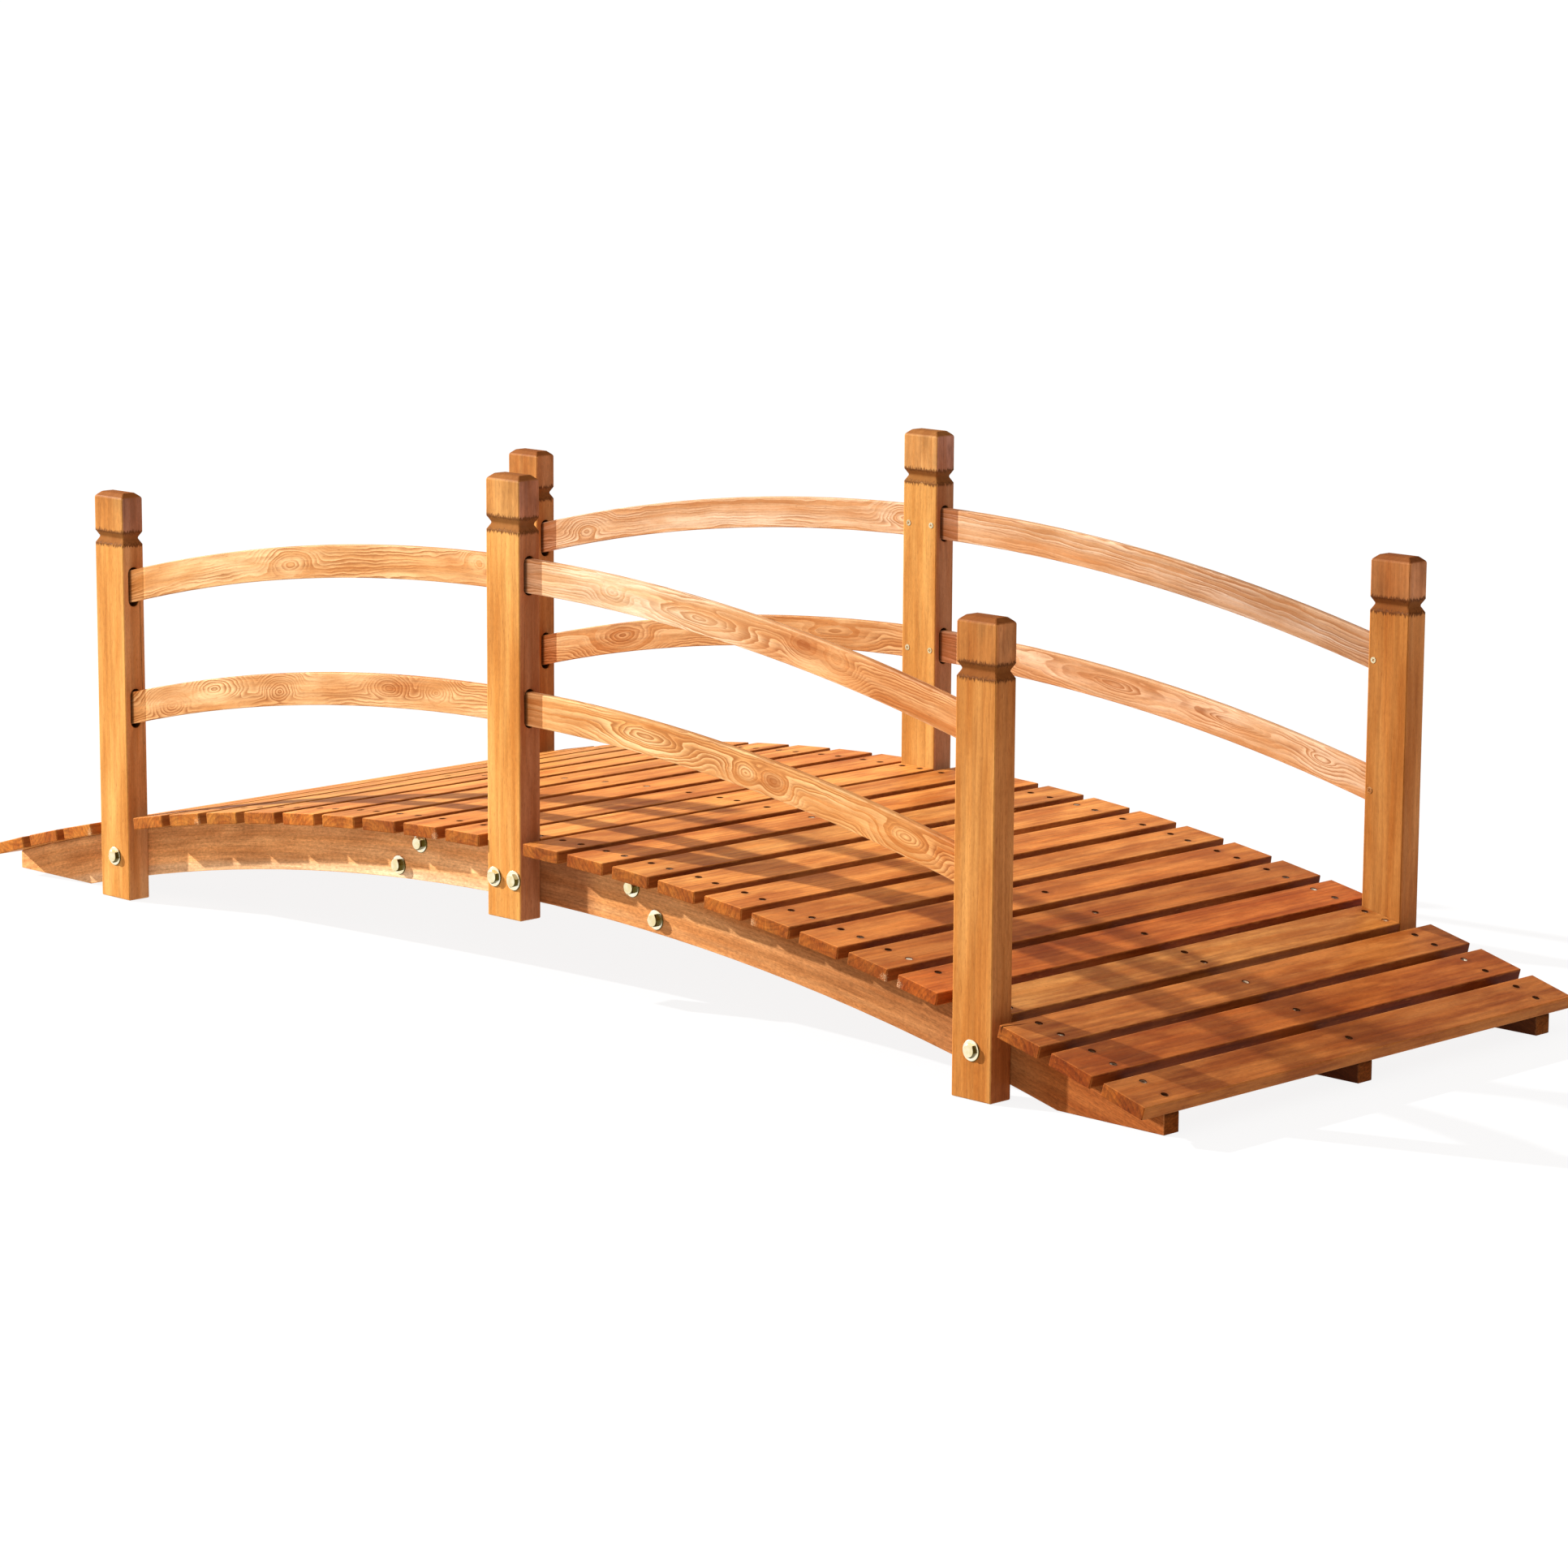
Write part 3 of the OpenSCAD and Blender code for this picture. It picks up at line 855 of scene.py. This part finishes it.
def washer(radius, thick):
    """Washer with rounded edges, slightly domed towards the head on it."""
    shape = Shape()
    shape.turned([(radius - 0.5, 0.0), (radius, 0.4), (radius, thick - 0.5), (radius - 0.6, thick),
                  (radius * 0.62, thick + 0.25)], 40)
    return shape


# Bolts in millimetres: half widths over the flats, heights, radii and thicknesses
HEAD_HALF, FLAT_HEAD_H, TALL_HEAD_H = 7.2, 3.8, 6.0
WASHER_R, NUT_WASHER_R, WASHER_T = 12.0, 9.0, 1.4
NUT_HALF, NUT_H, NUT_LIFT = 6.5, 6.2, 1.6
STUB_PROFILE = [(3.9, 0.0), (3.9, 3.0), (3.1, 3.8)]
# Screws in millimetres: head, countersink, cross recess and the hole that a deck screw is sunk in
SCREW_R, SCREW_DEEP, SCREW_RIM = 3.9, 1.4, 0.25
CROSS_ARM, CROSS_REACH, CROSS_DEEP = 0.55, 1.9, 1.1
HOLE_PROFILE = [(4.1, -3.2), (4.3, -0.9), (4.7, 0.6)]
SMALL_SIDES = 20


def nut_end():
    """Washer, nut and the end of the bolt."""
    shape = washer(NUT_WASHER_R, WASHER_T)
    shape.add(hex_block(NUT_HALF, NUT_H, True), NUT_LIFT)
    stub = Shape()
    stub.turned(STUB_PROFILE, SMALL_SIDES)
    shape.add(stub, NUT_LIFT + NUT_H)
    return shape


def screw_head():
    """Countersunk head with a cross recess."""
    shape = Shape()
    arm, reach = CROSS_ARM, CROSS_REACH
    cross = [(reach, -arm), (reach, arm), (arm, arm), (arm, reach), (-arm, reach), (-arm, arm),
             (-reach, arm), (-reach, -arm), (-arm, -arm), (-arm, -reach), (arm, -reach), (arm, -arm)]
    around = on_circle(cross, SCREW_R)
    shape.loft([shape.ring(scaled(around, 0.7), -SCREW_DEEP), shape.ring(around, -SCREW_RIM),
                shape.ring(scaled(around, 0.95), 0.0), shape.ring(cross, 0.0),
                shape.ring(scaled(cross, 0.55), -CROSS_DEEP)])
    return shape


def stamped_mesh(name, stamps, material):
    """One mesh with each shape at its matrix."""
    points, faces = [], []
    for shape, matrix in stamps:
        start = len(points)
        points += [matrix @ (Vector(p) * MM) for p in shape.points]
        faces += [tuple(i + start for i in face) for face in shape.faces]
    mesh = bpy.data.meshes.new(name)
    mesh.from_pydata(points, [], faces)
    mesh.materials.append(material)
    return mesh


def stamped(name, stamps, material):
    """One piece of many small shapes, riding on the bridge."""
    mesh = stamped_mesh(name, stamps, material)
    mesh.validate()
    piece = bpy.data.objects.new(name, mesh)
    bpy.context.scene.collection.objects.link(piece)
    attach(piece, "root")


def seat(point, normal, spin):
    """Matrix that puts a shape at a point in millimetres, with its Z along the normal."""
    turn = Vector(normal).to_track_quat("Z", "Y").to_matrix().to_4x4()
    return Matrix.Translation(Vector(point) * MM) @ turn @ Matrix.Rotation(spin, 4, "Z")


# Flanks of bolts that face this way, right and down, get painted shade and a painted reflection of dark
# ground
PAINTED_SHADE_WAY = (0.86, 0.0, -0.5)
PAINTED_SHADE_COLOUR = (0.10, 0.075, 0.015, 1.0)


def zinc_material(name, dull, bright):
    g = Graph(name)
    colour = g.mix(g.smooth(g.cloud(110.0, 1.0), 0.30, 0.70), dull, bright)
    normal = g.node("TexCoord", {}).outputs["Normal"]
    # Painted shade and reflection on the flanks that face away from the sun
    lee = g.node("VectorMath", {0: normal, 1: PAINTED_SHADE_WAY}, operation="DOT_PRODUCT").outputs["Value"]
    colour = g.mix(g.smooth(lee, 0.02, 0.30), colour, PAINTED_SHADE_COLOUR)
    rough = g.linear(g.cloud(1500.0, 2.0), 0.2, 0.8, 0.12, 0.24)
    return g.finish({"Base Color": colour, "Metallic": 1.0, "Roughness": rough})


def screw_material():
    g = Graph("screw_zinc")
    cloud = g.cloud(45.0, 2.0)
    colour = g.mix(g.smooth(cloud, 0.50, 0.58), (0.11, 0.055, 0.022, 1.0), (0.80, 0.72, 0.56, 1.0))
    rough = g.linear(cloud, 0.3, 0.7, 0.55, 0.30)
    return g.finish({"Base Color": colour, "Metallic": 1.0, "Roughness": rough})


# The walls of the screw holes are nearly black: painted shade
def hole_material():
    g = Graph("hole_wood")
    colour = g.mix(g.cloud(900.0, 2.0), (0.05, 0.014, 0.004, 1.0), (0.15, 0.042, 0.010, 1.0))
    return g.finish({"Base Color": colour, "Roughness": 0.9, "Specular IOR Level": 0.1})


zinc = zinc_material("yellow_zinc", (0.86, 0.72, 0.40, 1.0), (0.97, 0.88, 0.60, 1.0))
pale_zinc = zinc_material("pale_zinc", (1.0, 0.88, 0.56, 1.0), (1.0, 0.96, 0.78, 1.0))
screw_zinc = screw_material()
hole_wood = hole_material()

# Bolts through posts, stringers and splice plates: distance from the middle of the bridge and height
STRINGER_BOLTS = [(186.0, 147.0), (226.0, 114.5)]
MIDDLE_POST_BOLT = (17.0, 134.5)
END_POST_BOLT = (POST_X, 55.0)
STRINGER_FACE = FRAME_W / 2
POST_FACE = STRINGER_FACE + POST_D
PLATE_BACK = STRINGER_FACE - STRINGER_T - SPLICE_T
STRINGER_BACK = STRINGER_FACE - STRINGER_T
CENTRE_FACE = STRINGER_T / 2 + SPLICE_T
flat_head, tall_head = hex_block(HEAD_HALF, FLAT_HEAD_H), hex_block(HEAD_HALF, TALL_HEAD_H)
nut, bolt_washer = nut_end(), washer(WASHER_R, WASHER_T)
washers, heads, nuts = [], [], []


def add_bolt(head, x, z, outer, inner, side):
    """Washer and head on an outer face that side points out of, and the nut on the inner one."""
    spin = dice.uniform(0, math.pi)
    washers.append((bolt_washer, seat((x, side * outer, z), (0, side, 0), spin)))
    heads.append((head, seat((x, side * (outer + WASHER_T), z), (0, side, 0), spin)))
    nuts.append((nut, seat((x, side * inner, z), (0, -side, 0), dice.uniform(0, math.pi))))


for side in (-1, 1):
    for way in (-1, 1):
        for x, z in STRINGER_BOLTS:
            add_bolt(tall_head, way * x, z, STRINGER_FACE, PLATE_BACK, side)
        for (x, z), back in ((MIDDLE_POST_BOLT, PLATE_BACK), (END_POST_BOLT, STRINGER_BACK)):
            add_bolt(flat_head, way * x, z, POST_FACE, back, side)
for way in (-1, 1):
    for x, z in STRINGER_BOLTS:
        add_bolt(tall_head, way * x, z, CENTRE_FACE, -CENTRE_FACE, -1)
stamped("bolt_washers", washers, pale_zinc)
stamped("bolt_heads", heads, zinc)
stamped("bolt_nuts", nuts, zinc)

# A split runs along the grain from one board's front end towards its screw: place across, place along, half
# width and depth, and how far its cutter stands above the board
CRACK_PATH = [(-26.0, -379.0, 1.1, 9.0), (-24.6, -368.0, 0.85, 7.0), (-22.0, -356.0, 0.6, 5.5),
              (-20.8, -346.0, 0.4, 4.0), (-18.8, -337.0, 0.15, 2.0)]
CRACK_ABOVE = 0.6


def crack():
    """A thin wedge along the split's path."""
    shape = Shape()
    shape.loft([shape.ring([(across - half, along), (across + half, along), (across, along)],
                           [CRACK_ABOVE, CRACK_ABOVE, -deep])
                for across, along, half, deep in CRACK_PATH])
    return shape


def drill(number, stamps):
    """Cuts shapes out of a board, by a hidden piece that rides along."""
    mesh = stamped_mesh(f"holes_{number}", stamps, hole_wood)
    outward = bmesh.new()
    outward.from_mesh(mesh)
    bmesh.ops.recalc_face_normals(outward, faces=outward.faces)
    outward.to_mesh(mesh)
    outward.free()
    cutter = bpy.data.objects.new(mesh.name, mesh)
    bpy.context.scene.collection.objects.link(cutter)
    cutter.hide_render = True
    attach(cutter, "root")
    holes = nodes[f"board_{number}"].modifiers.new("holes", "BOOLEAN")
    holes.operation = "DIFFERENCE"
    holes.solver = "EXACT"
    holes.material_mode = "TRANSFER"
    holes.object = cutter


# Deck screws sit in small holes, two at each outer stringer and one or two at the middle one. They stray
# from their places along and across the bridge, and are sunk to one of a few depths
STRAY_X, STRAY_Y = 1.2, 1.5
SUNK_DEPTHS = (0.5, 1.3, 1.6, 2.0)
PAIR = (-SCREW_APART, SCREW_APART)
screw, hole = screw_head(), Shape()
hole.turned(HOLE_PROFILE, SMALL_SIDES)
deck_screws = []
for place in PLACES:
    angle = place_angle(place)
    outward = Vector((math.sin(angle), 0.0, math.cos(angle)))
    tangent = Vector((math.cos(angle), 0.0, -math.sin(angle)))
    top = Vector((DECK_R * math.sin(angle), 0.0, ARCH_Z + DECK_R * math.cos(angle)))
    middle = PAIR if place % BAY_BOARDS == 0 else (0.0,)
    cuts = []
    for y, offsets in ((-SCREW_Y, PAIR), (0.0, middle), (SCREW_Y, PAIR)):
        for offset in offsets:
            shift = tangent * (offset + dice.uniform(-STRAY_X, STRAY_X))
            shift += Vector((0.0, y + dice.uniform(-STRAY_Y, STRAY_Y), 0.0))
            sunk = dice.choice(SUNK_DEPTHS)
            spin = dice.uniform(0, math.pi)
            deck_screws.append((screw, seat(top + shift - outward * sunk, outward, spin)))
            cuts.append((hole, seat(top + shift, outward, 0.0)))
    if board_number(place) == CRACKED_BOARD:
        turn = Matrix((tangent, (0.0, 1.0, 0.0), outward)).transposed().to_4x4()
        cuts.append((crack(), Matrix.Translation(top * MM) @ turn))
    drill(board_number(place), cuts)
stamped("deck_screws", deck_screws, screw_zinc)

# Screws that hold the rails, on the posts' inner faces: place along the bridge and height
MIDDLE_RAIL_SCREWS = [(-19.5, 494.5), (19.5, 494.5), (-19.5, 334.3), (19.5, 334.3)]
END_RAIL_SCREWS = [(728.0, 402.0), (728.0, 247.0)]
RAIL_SCREW_PROUD = 0.35
spots = MIDDLE_RAIL_SCREWS + [(way * x, z) for way in (-1, 1) for x, z in END_RAIL_SCREWS]
rail_screws = []
for side in (-1, 1):
    inner = side * (STRINGER_FACE - RAIL_SCREW_PROUD)
    for x, z in spots:
        rail_screws.append((screw, seat((x, inner, z), (0, -side, 0), dice.uniform(0, math.pi))))
stamped("rail_screws", rail_screws, zinc)

# Pale studio: floor in metres, sky that is brighter on the sun's side, and a low sun
FLOOR_HALF, FLOOR_DROP = 150.0, 0.0005
FLOOR_GLOW = 0.88
SKY_COLOUR = (1.05, 0.90, 0.83, 1.0)
SKY_BRIGHT_SIDE = (-0.62, -0.42, 0.66)
SKY_FADE = {"From Min": -0.75, "From Max": 0.85, "To Min": 0.16, "To Max": 1.05}
SUN_TRAVEL = (0.933, 0.359, -0.403)
SUN_POWER, SUN_DEGREES = 9.6, 1.0
SUN_COLOUR = (0.97, 1.0, 1.0)


def make_floor():
    g = Graph("pale_floor")
    colour = g.mix(g.cloud(0.8, 2.0), (0.08, 0.08, 0.08, 1.0), (0.09, 0.09, 0.09, 1.0))
    material = g.finish({"Base Color": colour, "Roughness": 0.9, "Specular IOR Level": 0.0,
                         "Emission Color": (1.0, 1.0, 1.0, 1.0), "Emission Strength": FLOOR_GLOW})
    mesh = bpy.data.meshes.new("floor")
    size = FLOOR_HALF
    mesh.from_pydata([(-size, -size, 0), (size, -size, 0), (size, size, 0), (-size, size, 0)], [],
                     [(0, 1, 2, 3)])
    mesh.materials.append(material)
    floor = bpy.data.objects.new("floor", mesh)
    bpy.context.scene.collection.objects.link(floor)
    floor.location.z = -FLOOR_DROP


def make_sky():
    world = bpy.data.worlds.new("studio")
    world.use_nodes = True
    bpy.context.scene.world = world
    tree = world.node_tree
    ground = tree.nodes["Background"]
    ground.inputs["Color"].default_value = SKY_COLOUR
    direction = tree.nodes.new("ShaderNodeTexCoord").outputs["Generated"]
    towards = tree.nodes.new("ShaderNodeVectorMath")
    towards.operation = "DOT_PRODUCT"
    towards.inputs[1].default_value = Vector(SKY_BRIGHT_SIDE).normalized()
    soft = tree.nodes.new("ShaderNodeMapRange")
    soft.interpolation_type = "SMOOTHSTEP"
    for key, value in SKY_FADE.items():
        soft.inputs[key].default_value = value
    tree.links.new(direction, towards.inputs[0])
    tree.links.new(towards.outputs["Value"], soft.inputs["Value"])
    tree.links.new(soft.outputs[0], ground.inputs["Strength"])


def make_sun():
    data = bpy.data.lights.new("key", "SUN")
    data.energy = SUN_POWER
    data.angle = math.radians(SUN_DEGREES)
    data.color = SUN_COLOUR
    key = bpy.data.objects.new("key", data)
    key.rotation_mode = "QUATERNION"
    key.rotation_quaternion = Vector(SUN_TRAVEL).to_track_quat("-Z", "Y")
    bpy.context.scene.collection.objects.link(key)


make_floor()
make_sky()
make_sun()
bpy.context.scene.view_settings.view_transform = "Standard"
